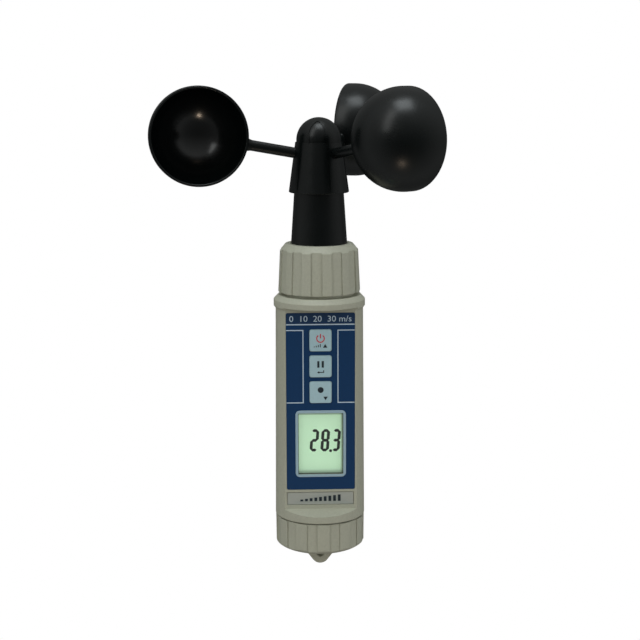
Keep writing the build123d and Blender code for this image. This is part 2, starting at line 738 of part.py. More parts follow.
def sensor_column():
    spigot_r = NECK_BORE_R - SLIP
    spigot_z = NECK_TOP - SPIGOT_LENGTH
    body = turned([
        (0, spigot_z), (spigot_r, spigot_z), (spigot_r, NECK_TOP), (FLANGE_R, NECK_TOP),
        (FLANGE_R, FLANGE_TOP), (COLUMN_LOW_R, FLANGE_TOP), (COLUMN_LOW_R, COLUMN_LOW_Z),
        (COLUMN_TOP_R, COLUMN_TOP - COLUMN_CHAMFER[1]), (COLUMN_TOP_R - COLUMN_CHAMFER[0], COLUMN_TOP),
        (NOSE_R, COLUMN_TOP), (NOSE_R, NOSE_TOP - NOSE_EDGE), (NOSE_R - NOSE_EDGE, NOSE_TOP), (0, NOSE_TOP),
    ])
    body -= rod(SENSOR_BAY_R, spigot_z - OVER, HALL_BOARD_Z[1])
    body -= rod(MAGNET_BAY_R, HALL_BOARD_Z[1] - OVER, MAGNET_BAY_TOP)
    body -= rod(BEARING_OUT_R, MAGNET_BAY_TOP - OVER, BEARING_Z["lower"] + BEARING_W)
    body -= rod(SPACER_BORE_R, BEARING_Z["lower"], BEARING_Z["upper"] + OVER)
    return body - rod(BEARING_OUT_R, BEARING_Z["upper"], NOSE_TOP + OVER)


def column_seal():
    return Pos(0, 0, NECK_TOP - SEAL_MINOR_R) * Torus(SEAL_R, SEAL_MINOR_R - SEAL_FIT)


def outer_race(low):
    ring = tube(BEARING_OUT_R, OUTER_RACE_IN_R, low, low + BEARING_W)
    return ring - Pos(0, 0, low + BEARING_W / 2) * Torus(BALL_PITCH_R, RACE_GROOVE_R)


def inner_race(low):
    ring = tube(INNER_RACE_OUT_R, SHAFT_R, low, low + BEARING_W)
    return ring - Pos(0, 0, low + BEARING_W / 2) * Torus(BALL_PITCH_R, RACE_GROOVE_R)


def bearing_balls(low):
    ball = Pos(BALL_PITCH_R, 0, low + BEARING_W / 2) * Sphere(BALL_R)
    return joined(about_z(ball, BALL_COUNT))


def bearing_cage(low):
    middle = low + BEARING_W / 2
    cage = tube(CAGE_R[1], CAGE_R[0], middle - CAGE_HALF_H, middle + CAGE_HALF_H)
    pocket = Pos(BALL_PITCH_R, 0, middle) * Rot(0, 90, 0) * Cylinder(CAGE_POCKET_R, 2 * OVER)
    for hole in about_z(pocket, BALL_COUNT):
        cage -= hole
    return cage


def bearing_retainer():
    low = BEARING_Z["upper"] + BEARING_W
    return tube(BEARING_OUT_R, RETAINER_IN_R, low, low + RETAINER_THICK)


def hall_board():
    low, high = HALL_BOARD_Z
    board = rod(SENSOR_BAY_R - SLIP, low, high)
    board -= Pos(0, LEAD_HOLE_Y, 0) * rod(LEAD_HOLE_R, low - OVER, high + OVER)
    for x in (-PIN_HOLE_X, PIN_HOLE_X):
        board -= Pos(x, 0, 0) * rod(PIN_HOLE_R, low - OVER, high + OVER)
    return board


def hall_sensor():
    return Pos(HALL_X, 0, HALL_BOARD_Z[1]) * Box(*HALL_SIZE, align=ON_FLOOR)


# ---- rotor -------------------------------------------------------------------

def rotor_shaft():
    return rod(SHAFT_R, SHAFT_Z[0], SHAFT_Z[1]) - tube(2 * SHAFT_R, CLIP_GROOVE_R, CLIP_Z[0], CLIP_Z[1])


def shaft_clip():
    """Snap ring in the shaft's groove under the lower bearing."""
    low, high = CLIP_Z
    mouth = front_block(0, (low + high) / 2, CLIP_MOUTH, high - low + OVER, -CLIP_R - OVER, 0)
    return tube(CLIP_R, CLIP_GROOVE_R, low, high) - mouth


def bearing_spacer():
    return tube(SPACER_R, SHAFT_R, BEARING_Z["lower"] + BEARING_W, BEARING_Z["upper"])


def magnet_ring():
    return tube(MAGNET_R, SHAFT_R, MAGNET_Z[0], MAGNET_Z[1])


def panel_grooves():
    """Upright grooves at both sides of the three panels of the hub skirt."""
    slope = math.degrees(math.atan2(HUB_BOTTOM_R - HUB_TOP_R, HUB_TOP - HUB_BOTTOM))
    length = HUB_TOP - HUB_BOTTOM - GROOVE_START
    middle_z = HUB_BOTTOM + GROOVE_START + length / 2
    middle_r = HUB_BOTTOM_R - (middle_z - HUB_BOTTOM) * math.tan(math.radians(slope))
    bar = Rot(0, -slope, 0) * Box(2 * OVER, GROOVE_W, length + OVER)
    groove = Pos(middle_r + OVER - GROOVE_DEPTH, 0, middle_z) * bar
    cutters = []
    for side in (-1, 1):
        cutters += about_z(groove, len(ARM_ANGLES), PANEL_CENTRE_DEG + side * PANEL_HALF_DEG - 90)
    return cutters


def rotor_hub():
    inner_low = HUB_BOTTOM_R - HUB_WALL
    fall = (HUB_BOTTOM_R - HUB_TOP_R) / (HUB_TOP - HUB_BOTTOM)
    inner_high = inner_low - fall * (HUB_WEB_Z - HUB_BOTTOM)
    body = turned([
        (0, HUB_WEB_Z), (inner_high, HUB_WEB_Z), (inner_low, HUB_BOTTOM),
        (HUB_BOTTOM_R - HUB_EDGE, HUB_BOTTOM), (HUB_BOTTOM_R, HUB_BOTTOM + HUB_EDGE),
        (HUB_TOP_R, HUB_TOP), (0, HUB_TOP),
    ])
    body += rod(HUB_BOSS_R, BEARING_Z["upper"] + BEARING_W, HUB_WEB_Z + OVER)
    for cutter in panel_grooves():
        body -= cutter
    body -= rod(NUT_POCKET_R, NUT_SEAT_Z, HUB_TOP + OVER)
    body -= rod(SHAFT_R, HUB_BOTTOM, HUB_TOP + OVER)
    for angle in ARM_ANGLES:
        body -= arm(angle)
    return body


def dome_layer(inner, outer):
    """Shell of the rounded cap on the hub's top, between two offsets from its surface."""
    centre_z = DOME_TOP - DOME_R
    layers = []
    for offset in (inner, outer):
        radius = DOME_R + offset
        whole = rod(radius, HUB_TOP, centre_z) + Pos(0, 0, centre_z) * Sphere(radius)
        layers.append(whole & rod(2 * DOME_R, HUB_TOP, DOME_TOP + FAR))
    return layers[1] - layers[0]


def leaf_cutter():
    """Pointed arch as seen from outside, pushed outward from the axis."""
    half = LEAF_HALF_W
    low = HUB_TOP - OVER
    spring_z = HUB_TOP + LEAF_SPRING
    peak = HUB_TOP + LEAF_PEAK
    middle_x = half * LEAF_BULGE[0]
    middle_z = spring_z + LEAF_BULGE[1] * (peak - spring_z)
    left = ThreePointArc((-half, spring_z), (-middle_x, middle_z), (0, peak))
    right = ThreePointArc((0, peak), (middle_x, middle_z), (half, spring_z))
    base = Polyline((half, spring_z), (half, low), (-half, low), (-half, spring_z))
    return extrude(Plane.XZ * make_face([left, right, base]), amount=FAR)


def rotor_cap():
    dome = dome_layer(-DOME_WALL, 0)
    skin = dome_layer(-LEAF_DEPTH, OVER)
    leaf = leaf_cutter()
    for cutter in about_z(leaf, len(ARM_ANGLES), LEAF_CENTRE_DEG):
        dome -= skin & cutter
    dome += tube(DOME_R - OVER, ROTOR_CAP_HOLE_R, HUB_TOP, HUB_TOP + ROTOR_CAP_FLOOR)
    plug_low = HUB_TOP - ROTOR_CAP_PLUG
    return dome + tube(NUT_POCKET_R - RUNNING, ROTOR_CAP_HOLE_R, plug_low, HUB_TOP + ROTOR_CAP_FLOOR / 2)


def hub_nut():
    nut = Pos(0, 0, NUT_SEAT_Z) * extrude(RegularPolygon(NUT_R, 6), amount=NUT_H)
    return nut - rod(SHAFT_R, NUT_SEAT_Z - OVER, NUT_SEAT_Z + NUT_H + OVER)


def arm_plane(angle, reach):
    """Plane across an arm, at a distance from the shaft axis along the arm."""
    rise = CUP_CENTRE_Z - ARM_ROOT_Z
    length = math.hypot(CUP_ORBIT_R, rise)
    a = math.radians(angle)
    along = (math.cos(a) * CUP_ORBIT_R / length, math.sin(a) * CUP_ORBIT_R / length, rise / length)
    origin = (along[0] * reach, along[1] * reach, ARM_ROOT_Z + along[2] * reach)
    return Plane(origin=origin, x_dir=(-math.sin(a), math.cos(a), 0), z_dir=along)


def arm(angle):
    """Moulded spoke of oval section that climbs to its cup."""
    section = Ellipse(ARM_HALF_W, ARM_HALF_H)
    return extrude(arm_plane(angle, ARM_SPAN[0]) * section, amount=ARM_SPAN[1] - ARM_SPAN[0])


def cup_plane(angle):
    """Plane at a cup's centre, its normal out of the cup's mouth."""
    a = math.radians(angle)
    centre = (CUP_ORBIT_R * math.cos(a), CUP_ORBIT_R * math.sin(a), CUP_CENTRE_Z)
    return Plane(origin=centre, x_dir=(math.cos(a), math.sin(a), 0), z_dir=(-math.sin(a), math.cos(a), 0))


def cup_shell():
    """Half sphere with a short straight lip, mouth towards +Z, centre at the origin."""
    inner = CUP_R - CUP_WALL
    root = math.sqrt(0.5)
    outside = ThreePointArc((0, -CUP_R), (CUP_R * root, -CUP_R * root), (CUP_R, 0))
    edge = CUP_RIM_EDGE
    rim = Polyline((CUP_R, 0), (CUP_R, CUP_LIP - edge), (CUP_R - edge, CUP_LIP), (inner + edge, CUP_LIP),
                   (inner, CUP_LIP - edge), (inner, 0))
    inside = ThreePointArc((inner, 0), (inner * root, -inner * root), (0, -inner))
    close = Line((0, -inner), (0, -CUP_R))
    return revolve(Plane.XZ * make_face([outside, rim, inside, close]), Axis.Z)


def cup(angle):
    """Wind cup with the socket that takes the end of its arm."""
    ends = []
    for reach, growth in zip(SOCKET_SPAN, SOCKET_GROWTH):
        ends.append(arm_plane(angle, reach) * Ellipse(ARM_HALF_W + growth / 2, ARM_HALF_H + growth))
    return (cup_plane(angle) * cup_shell()) + loft(ends) - arm(angle)


# ---- export --------------------------------------------------------------------

def all_parts():
    parts = {
        "barrel": barrel(),
        "front_overlay": front_overlay(),
        "window_frame": window_frame(),
        "window_lens": window_lens(),
        "window_gasket": window_gasket(),
        "name_plate": name_plate(),
        "main_board": main_board(),
        "board_screws": board_screws(),
        "board_parts": board_parts(),
        "key_switches": key_switches(),
        "controller_chip": controller_chip(),
        "lcd_glass": lcd_glass(),
        "lcd_backlight": lcd_backlight(),
        "lcd_holder": lcd_holder(),
        "contact_strips": contact_strips(),
        "battery_cradle": battery_cradle(),
        "battery_cells": battery_cells(),
        "battery_contacts": battery_contacts(),
        "battery_leads": battery_leads(),
        "sensor_lead": sensor_lead(),
        "lead_socket": lead_socket(),
        "cap_seal": cap_seal(),
        "battery_cap": battery_cap(),
        "cap_rivet": cap_rivet(),
        "contact_disc": contact_disc(),
        "battery_springs": battery_springs(),
        "coupling_ring": coupling_ring(),
        "ring_washer": ring_washer(),
        "sensor_column": sensor_column(),
        "column_seal": column_seal(),
        "bearing_retainer": bearing_retainer(),
        "hall_board": hall_board(),
        "hall_sensor": hall_sensor(),
        "rotor_shaft": rotor_shaft(),
        "shaft_clip": shaft_clip(),
        "bearing_spacer": bearing_spacer(),
        "magnet_ring": magnet_ring(),
        "rotor_hub": rotor_hub(),
        "rotor_cap": rotor_cap(),
        "hub_nut": hub_nut(),
    }
    for name, z in zip(KEY_NAMES, KEY_Z):
        parts[name] = key(z)
    for place, low in BEARING_Z.items():
        parts[place + "_outer_race"] = outer_race(low)
        parts[place + "_inner_race"] = inner_race(low)
        parts[place + "_bearing_balls"] = bearing_balls(low)
        parts[place + "_bearing_cage"] = bearing_cage(low)
    for number, angle in enumerate(ARM_ANGLES, start=1):
        parts["arm_" + str(number)] = arm(angle)
        parts["cup_" + str(number)] = cup(angle)
    return parts


os.makedirs("parts", exist_ok=True)
for node, shape in all_parts().items():
    export_step(shape, "parts/" + node + ".step")
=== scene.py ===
import bpy
import bmesh
import json
import math
from mathutils import Matrix, Vector


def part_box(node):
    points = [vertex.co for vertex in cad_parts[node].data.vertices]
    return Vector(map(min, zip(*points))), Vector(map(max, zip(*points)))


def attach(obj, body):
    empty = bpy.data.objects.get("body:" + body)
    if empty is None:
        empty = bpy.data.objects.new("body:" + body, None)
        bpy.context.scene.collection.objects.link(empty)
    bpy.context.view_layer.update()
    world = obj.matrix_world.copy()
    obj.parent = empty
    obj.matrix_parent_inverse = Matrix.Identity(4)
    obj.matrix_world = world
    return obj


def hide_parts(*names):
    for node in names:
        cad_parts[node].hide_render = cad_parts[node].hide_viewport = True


# Handheld three-cup anemometer: camera, materials, printed marks, display and light.
# The scene is in metres, +Z up, front panel towards -Y. The constants are in millimetres and degrees
# unless a comment says otherwise.

MM = 0.001

# ---- camera ----------------------------------------------------------------
CAMERA_AZIMUTH = 2.139
CAMERA_DISTANCE = 647.8
CAMERA_HEIGHT = 155.3
CAMERA_PITCH = 10.04
CAMERA_YAW = 0.026
CAMERA_ROLL = -0.187
CAMERA_LENS = 80.85
CAMERA_SENSOR = 36
CAMERA_NEAR = 10

# ---- wind cups, as the CAD has them, and the flare at each arm ---------------
CUP_ANGLES = (189.05, 309.05, 69.05)
CUP_ORBIT = 54.05
CUP_WALL = 1.2
CUP_LIP = 3.6
CUP_STEPS = 40
CUP_RIM_STEPS = 8
CUP_SEGMENTS = 112
ARM_ROOT_Z = 114.9
ARM_HALF_W = 1.9
ARM_HALF_H = 2.4
FLARE_SPAN = (30.6, 33.3)
FLARE_GROWTH = 0.8
FLARE_SIDEWAYS = 0.5            # sideways growth as a share of the growth in height
FLARE_STEPS = 8
FLARE_SIDES = 40
SMOOTH_BELOW = 35

# ---- printed marks on the panel ---------------------------------------------
INK = 0.03
BAND_INK = 0.012
DIGIT_INK = 0.01
PRINT_INSET = 0.12
HEADER_TEXT = "0  10  20  30 m/s"
HEADER_TEXT_H = 2.7
HEADER_TEXT_W = 28.0
HEADER_CORNER = 1.0
HEADER_LINE_Z = 40.75
HEADER_LINE_T = 0.52
FRAME_LINE_T = 0.44
FRAME_INNER_X = 7.88
FRAME_HIGH_Z = 38.1
FRAME_LOW_Z = 4.75
PLATE_BARS = 9
PLATE_BAR_FOOT = 1.4
PLATE_BAR_PITCH = 2.15
PLATE_BAR_W = 1.3
PLATE_BAR_H = 0.9
PLATE_BAR_GROWTH = 0.27

# ---- display ------------------------------------------------------------------
READING = "28.3"
SEGMENTS = {"2": "abged", "8": "abcdefg", "3": "abgcd"}
DIGIT_H = 10.5
DIGIT_W = 3.9
DIGIT_PITCH = 4.95
DIGIT_STROKE = 1.35
DIGIT_LEAN = 0.07               # sideways shift per height
DIGIT_LOW_Z = -18.7
DIGIT_LAST_RIGHT = 9.4
POINT_R = 0.7
POINT_GAP = 0.85
POINT_RISE = 0.3
POINT_SIDES = 16

# Painted shade on the display along its width and its height, as (share of the way, level): darker at its
# right side, a painted shadow under its top edge, and painted shade over its foot where the window's recess
# shades it.
LCD_PAINTED_SHADE_ACROSS = [(0.0, 1.0), (0.93, 1.0), (0.955, 0.85), (0.975, 0.4), (1.0, 0.3)]
LCD_PAINTED_SHADE_UPRIGHT = [(0.0, 0.4), (0.022, 0.46), (0.038, 0.6), (0.055, 0.8), (0.071, 0.89),
               (0.104, 0.95), (0.2, 1.0), (0.955, 1.0), (0.968, 0.55), (1.0, 0.45)]
LCD_GLOW = 0.52

# ---- light and backdrop, in metres and watts ------------------------------------
LIGHT_TARGET = (0, 0, 0.06)
# Name, azimuth, elevation, distance, size, power, colour, and whether reflections show it.
LIGHTS = [
    ("top_light", 8, 80, 1.0, (0.45, 0.45), 2.6, (0.90, 0.97, 1.0), True),
    ("left_window", -43, 44, 1.1, (0.30, 0.9), 1.5, (0.97, 1.0, 0.985), True),
    ("left_fill", -52, 12, 1.4, (1.0, 1.2), 3.4, (1, 1, 1), False),
    ("right_fill", 52, 12, 1.4, (1.0, 1.2), 4.6, (1, 1, 1), False),
    ("back_fill", 180, 15, 1.4, (1.2, 1.2), 3.2, (1, 1, 1), False),
    ("low_glint", -6, -47, 1.0, (0.06, 0.06), 0.6, (1.0, 0.78, 0.58), True),
]
# Grey levels of the room from its front to its back, and of what its height adds, from below to above.
ROOM = [(0.0, 0.07), (0.1, 0.11), (0.25, 0.25), (0.5, 0.31), (0.75, 0.1), (1.0, 0.05)]
CEILING = [(0.5, 0.0), (0.75, 0.12), (1.0, 0.25)]
ROOM_TINT = (0.97, 1.0, 0.99)
STAGE_FLOOR = -1.0
STAGE_RADIUS = 2.6
STAGE_BEND = 0.8
STAGE_BEND_STEPS = 16
STAGE_WALL = 5.0
STAGE_SEGMENTS = 64

# Part of a noise texture's values that the effects below are spread over, and its roughness.
NOISE_RANGE = (0.3, 0.7)
NOISE_ROUGHNESS = 0.55


def srgb(red, green, blue):
    """Linear colour from 0-255 display values."""
    values = []
    for v in (red, green, blue):
        v = v / 255
        values.append(v / 12.92 if v <= 0.04045 else ((v + 0.055) / 1.055) ** 2.4)
    return (*values, 1.0)


BEIGE = srgb(185, 186, 168)
BLACK = srgb(5, 9, 9)
PANEL_BLUE = srgb(10, 57, 101)
HEADER_BLUE = srgb(24, 56, 92)
PRINT_PALE = srgb(206, 224, 238)
KEY_GREY = srgb(183, 215, 223)
FRAME_SILVER = srgb(176, 204, 218)
PLATE_GREY = srgb(194, 198, 190)
LCD_GREEN = srgb(186, 222, 188)
INK_DARK = srgb(34, 46, 54)
INK_RED = srgb(214, 52, 64)
INK_DISPLAY = srgb(14, 24, 18)
BOARD_GREEN = srgb(30, 112, 58)
CELL_BLUE = srgb(40, 78, 130)
CELL_METAL = srgb(190, 190, 188)


# ---- shader helpers ----------------------------------------------------------

def dimmed(colour, level):
    """A colour made darker or lighter, at most full brightness."""
    return tuple(min(1.0, c * level) for c in colour[:3]) + (1.0,)


def set_stops(node, stops):
    """Fills a colour ramp from (place, colour) pairs."""
    while len(node.color_ramp.elements) < len(stops):
        node.color_ramp.elements.new(0.5)
    for element, (place, colour) in zip(node.color_ramp.elements, stops):
        element.position = place
        element.color = colour


class Shader:
    """A material with one Principled shader, built step by step."""

    def __init__(self, name, colour, roughness, metallic=0.0, specular=0.5):
        self.material = bpy.data.materials.new(name)
        self.material.use_nodes = True
        self.nodes = self.material.node_tree.nodes
        self.links = self.material.node_tree.links
        self.surface = self.nodes["Principled BSDF"]
        self.surface.inputs["Base Color"].default_value = colour
        self.surface.inputs["Roughness"].default_value = roughness
        self.surface.inputs["Metallic"].default_value = metallic
        self.surface.inputs["Specular IOR Level"].default_value = specular
        self.colour = colour
        self.coords = self.nodes.new("ShaderNodeTexCoord").outputs["Object"]
        self.normal = None

    def noise(self, scale, detail=3.0, stretch=None):
        node = self.nodes.new("ShaderNodeTexNoise")
        node.inputs["Scale"].default_value = scale
        node.inputs["Detail"].default_value = detail
        node.inputs["Roughness"].default_value = NOISE_ROUGHNESS
        source = self.coords
        if stretch:
            mapping = self.nodes.new("ShaderNodeMapping")
            mapping.inputs["Scale"].default_value = stretch
            self.links.new(self.coords, mapping.inputs["Vector"])
            source = mapping.outputs["Vector"]
        self.links.new(source, node.inputs["Vector"])
        return node.outputs["Fac"]

    def along(self, axis, start, end):
        """Share of the way between two places on one axis."""
        split = self.nodes.new("ShaderNodeSeparateXYZ")
        self.links.new(self.coords, split.inputs["Vector"])
        node = self.nodes.new("ShaderNodeMapRange")
        node.inputs["From Min"].default_value = start
        node.inputs["From Max"].default_value = end
        self.links.new(split.outputs[axis], node.inputs["Value"])
        return node.outputs["Result"]

    def ramp(self, value, stops):
        node = self.nodes.new("ShaderNodeValToRGB")
        set_stops(node, stops)
        self.links.new(value, node.inputs["Fac"])
        return node.outputs["Color"]

    def clouds(self, dark, light, scale, **options):
        """Noise between two colours."""
        return self.ramp(self.noise(scale, **options), list(zip(NOISE_RANGE, (dark, light))))

    def vary_colour(self, scale, amount, **options):
        """Light and dark clouds of the base colour."""
        dark = dimmed(self.colour, 1 - amount)
        light = dimmed(self.colour, 1 + amount)
        self.links.new(self.clouds(dark, light, scale, **options), self.surface.inputs["Base Color"])
        return self

    def vary_roughness(self, scale, low, high, **options):
        node = self.nodes.new("ShaderNodeMapRange")
        node.inputs["From Min"].default_value = NOISE_RANGE[0]
        node.inputs["From Max"].default_value = NOISE_RANGE[1]
        node.inputs["To Min"].default_value = low
        node.inputs["To Max"].default_value = high
        self.links.new(self.noise(scale, **options), node.inputs["Value"])
        self.links.new(node.outputs["Result"], self.surface.inputs["Roughness"])
        return self

    def use_normal(self, node):
        self.normal = node.outputs["Normal"]
        self.links.new(self.normal, self.surface.inputs["Normal"])
        return self

    def soft_edges(self, radius_mm):
        """Rounded-looking edges, as a moulding has."""
        node = self.nodes.new("ShaderNodeBevel")
        node.samples = 4
        node.inputs["Radius"].default_value = radius_mm * MM
        return self.use_normal(node)

    def bump(self, scale, depth_mm, strength, **options):
        node = self.nodes.new("ShaderNodeBump")
        node.inputs["Distance"].default_value = depth_mm * MM
        node.inputs["Strength"].default_value = strength
        self.links.new(self.noise(scale, **options), node.inputs["Height"])
        if self.normal is not None:
            self.links.new(self.normal, node.inputs["Normal"])
        return self.use_normal(node)


# ---- materials -----------------------------------------------------------------

def beige_plastic(name, edge_mm):
    """The handle's plastic. The turning collar has wider, softer edges than the rest."""
    shader = Shader(name, BEIGE, 0.5)
    shader.vary_colour(scale=900, amount=0.05, detail=6.0)
    shader.vary_roughness(scale=260, low=0.42, high=0.56)
    shader.soft_edges(edge_mm)
    return shader.bump(scale=2600, depth_mm=0.02, strength=0.5, detail=4.0).material


def moulded_black():
    shader = Shader("moulded_black", BLACK, 0.3, specular=0.4)
    shader.vary_colour(scale=160, amount=0.12)
    shader.vary_roughness(scale=90, low=0.26, high=0.34)
    return shader.bump(scale=1400, depth_mm=0.006, strength=0.3).material


def polished_black():
    """Glossier inside of the cups."""
    shader = Shader("polished_black", BLACK, 0.2, specular=0.8)
    shader.vary_colour(scale=160, amount=0.12)
    shader.vary_roughness(scale=90, low=0.18, high=0.23)
    return shader.bump(scale=900, depth_mm=0.004, strength=0.25).material


def panel_film():
    shader = Shader("panel_film", PANEL_BLUE, 0.42)
    shader.vary_colour(scale=1400, amount=0.06, detail=5.0)
    return shader.bump(scale=3200, depth_mm=0.008, strength=0.4).material


def key_plastic():
    shader = Shader("key_plastic", KEY_GREY, 0.45)
    shader.vary_colour(scale=1200, amount=0.03)
    shader.soft_edges(0.25)
    return shader.bump(scale=2600, depth_mm=0.012, strength=0.4).material


def ink(name, colour, roughness=0.5):
    return Shader(name, colour, roughness).vary_colour(scale=2600, amount=0.06).material


def silver_band():
    shader = Shader("silver_band", FRAME_SILVER, 0.38, metallic=0.1)
    shader.vary_roughness(scale=1500, low=0.32, high=0.44)
    return shader.soft_edges(0.15).material


def satin_plate():
    shader = Shader("satin_plate", PLATE_GREY, 0.36, metallic=0.25)
    shader.vary_colour(scale=500, amount=0.05, stretch=(1.0, 1.0, 14.0))
    return shader.bump(scale=1800, depth_mm=0.01, strength=0.5, stretch=(0.06, 1.0, 1.0)).material


def clear_lens():
    shader = Shader("clear_lens", srgb(235, 245, 240), 0.04)
    shader.surface.inputs["Alpha"].default_value = 0.03
    shader.vary_roughness(scale=60, low=0.03, high=0.06)
    shader.material.blend_method = "BLEND"
    return shader.material


def lcd_face():
    """Display glass: an even green field with painted shade along its foot, its top and its right side, in
    its colour and in its backlight glow.
    """
    shader = Shader("lcd_face", LCD_GREEN, 0.3)
    low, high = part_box("window_lens")

    def painted_shade_ramp(axis, start, end, stops):
        greys = [(place, (level, level, level, 1)) for place, level in stops]
        return shader.ramp(shader.along(axis, start, end), greys)

    def multiply(one, other):
        node = shader.nodes.new("ShaderNodeVectorMath")
        node.operation = "MULTIPLY"
        shader.links.new(one, node.inputs[0])
        shader.links.new(other, node.inputs[1])
        return node.outputs["Vector"]

    # painted shade: the display is darkened along its right side, under its top edge and over its foot,
    # where the window's recess shades it; the glow below carries the same painted shade
    painted_shade_levels = multiply(painted_shade_ramp("X", low.x, high.x, LCD_PAINTED_SHADE_ACROSS), painted_shade_ramp("Z", low.z, high.z, LCD_PAINTED_SHADE_UPRIGHT))
    colour = multiply(shader.clouds(dimmed(LCD_GREEN, 0.97), LCD_GREEN, scale=120), painted_shade_levels)
    shader.links.new(colour, shader.surface.inputs["Base Color"])
    shader.links.new(colour, shader.surface.inputs["Emission Color"])
    shader.surface.inputs["Emission Strength"].default_value = LCD_GLOW
    return shader.material


def board():
    shader = Shader("board_green", BOARD_GREEN, 0.35)
    return shader.vary_colour(scale=700, amount=0.18, detail=5.0).material


def bright_steel():
    shader = Shader("bright_steel", srgb(196, 196, 194), 0.25, metallic=1.0)
    shader.vary_roughness(scale=700, low=0.18, high=0.34)
    return shader.bump(scale=2200, depth_mm=0.005, strength=0.5, stretch=(1.0, 1.0, 12.0)).material


def plated_spring():
    shader = Shader("plated_spring", srgb(214, 200, 160), 0.22, metallic=1.0)
    return shader.vary_roughness(scale=900, low=0.16, high=0.32).material


def sintered_magnet():
    shader = Shader("sintered_magnet", srgb(60, 60, 62), 0.5, metallic=0.6)
    return shader.bump(scale=2600, depth_mm=0.02, strength=0.6).material


def rubber(name, colour):
    shader = Shader(name, colour, 0.62)
    shader.vary_colour(scale=800, amount=0.1)
    return shader.bump(scale=3000, depth_mm=0.015, strength=0.5).material


def plain_plastic(name, colour, roughness=0.45):
    shader = Shader(name, colour, roughness)
    shader.vary_colour(scale=700, amount=0.05)
    shader.soft_edges(0.12)
    return shader.bump(scale=2400, depth_mm=0.01, strength=0.4).material


def cell_jacket():
    """Plain cell wrap with a bright band at both ends."""
    shader = Shader("cell_jacket", CELL_BLUE, 0.3)
    low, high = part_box("battery_cells")
    bands = [(0.04, CELL_METAL), (0.05, CELL_BLUE), (0.94, CELL_BLUE), (0.96, CELL_METAL)]
    colour = shader.ramp(shader.along("Z", low.z, high.z), bands)
    shader.links.new(colour, shader.surface.inputs["Base Color"])
    return shader.bump(scale=500, depth_mm=0.02, strength=0.3).material


# ---- flat outlines: lists of (x, z) ------------------------------------------------

def arc(x, z, radius, start_deg, end_deg, steps):
    """Points along a circle, with both ends."""
    angles = [math.radians(start_deg + (end_deg - start_deg) * k / steps) for k in range(steps + 1)]
    return [(x + radius * math.cos(a), z + radius * math.sin(a)) for a in angles]


def bar(x0, z0, x1, z1):
    return [(x0, z0), (x1, z0), (x1, z1), (x0, z1)]


def rising_bars(left, foot, count, pitch, width, height, growth):
    """Row of bars on one foot, each taller than the one before."""
    bars = []
    for k in range(count):
        x = left + pitch * k
        bars.append(bar(x, foot, x + width, foot + height + growth * k))
    return bars


def arrow_head(x, base, tip, half_width=1.0):
    return [(x - half_width, base), (x + half_width, base), (x, tip)]


def round_topped(x0, z0, x1, z1, radius, steps=8):
    """Rectangle with its two upper corners rounded."""
    right = arc(x1 - radius, z1 - radius, radius, 0, 90, steps)
    left = arc(x0 + radius, z1 - radius, radius, 90, 180, steps)
    return [(x0, z0), (x1, z0)] + right + left


def disc(x, z, radius, count=28):
    return arc(x, z, radius, 0, 360, count)[:-1]


def arc_band(x, z, radius, width, start_deg, end_deg, steps=26):
    """Curved stroke as one outline."""
    outer = arc(x, z, radius + width / 2, start_deg, end_deg, steps)
    inner = arc(x, z, radius - width / 2, start_deg, end_deg, steps)
    return outer + inner[::-1]


def cup_outline(radius, wall, lip):
    """Half section of a cup from its outer pole round the rounded rim to its inner pole."""
    half = wall / 2
    inner = radius - wall
    lip_middle = (lip - half) / 2
    points = arc(0, 0, radius, -90, 0, CUP_STEPS)
    points.append((radius, lip_middle))
    points += arc(radius - half, lip - half, half, 0, 180, CUP_RIM_STEPS)
    points.append((inner, lip_middle))
    points += arc(0, 0, inner, 0, -90, CUP_STEPS)
    points[0] = (0, points[0][1])
    points[-1] = (0, points[-1][1])
    return points


# ---- mesh helpers ----------------------------------------------------------------

def own(obj, body, material):
    """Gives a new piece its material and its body."""
    obj.data.materials.append(material)
    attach(obj, body)
    return obj


def add_object(name, mesh):
    obj = bpy.data.objects.new(name, mesh)
    bpy.context.scene.collection.objects.link(obj)
    return obj


def object_from(name, bm):
    mesh = bpy.data.meshes.new(name)
    bm.to_mesh(mesh)
    bm.free()
    return add_object(name, mesh)


def printed(name, outlines, y, body, material, rise=INK):
    """Thin raised print on a face that looks to -Y and lies at y, in metres. The rest is in millimetres."""
    bm = bmesh.new()
    for outline in outlines:
        face = bm.faces.new([bm.verts.new((x * MM, y, z * MM)) for x, z in outline])
        pushed = bmesh.ops.extrude_face_region(bm, geom=[face])
        moved = [g for g in pushed["geom"] if isinstance(g, bmesh.types.BMVert)]
        bmesh.ops.translate(bm, verts=moved, vec=(0, -rise * MM, 0))
    bmesh.ops.recalc_face_normals(bm, faces=bm.faces)
    return own(object_from(name, bm), body, material)


def lettering(name, text, x, z, size, y, body, material):
    """Generic numerals and a unit in Blender's own font, fitted to a width and height on the panel."""
    curve = bpy.data.curves.new(name, "FONT")
    curve.body = text
    curve.extrude = INK / 2
    curve.resolution_u = 3
    maker = bpy.data.objects.new(name + "_curve", curve)
    mesh = bpy.data.meshes.new_from_object(maker)
    bpy.data.objects.remove(maker)
    across = [v.co.x for v in mesh.vertices]
    upright = [v.co.y for v in mesh.vertices]
    left, right = min(across), max(across)
    foot, top = min(upright), max(upright)
    width, height = size
    centred = Matrix.Translation((-(left + right) / 2, -(foot + top) / 2, 0))
    scale_x = width / (right - left) * MM
    scale_y = height / (top - foot) * MM
    fitted = Matrix.Diagonal((scale_x, scale_y, MM, 1)) @ centred
    standing = Matrix.Rotation(math.pi / 2, 4, "X")
    on_panel = Matrix.Translation((x * MM, y - INK * MM / 2, z * MM))
    mesh.transform(on_panel @ standing @ fitted)
    return own(add_object(name, mesh), body, material)


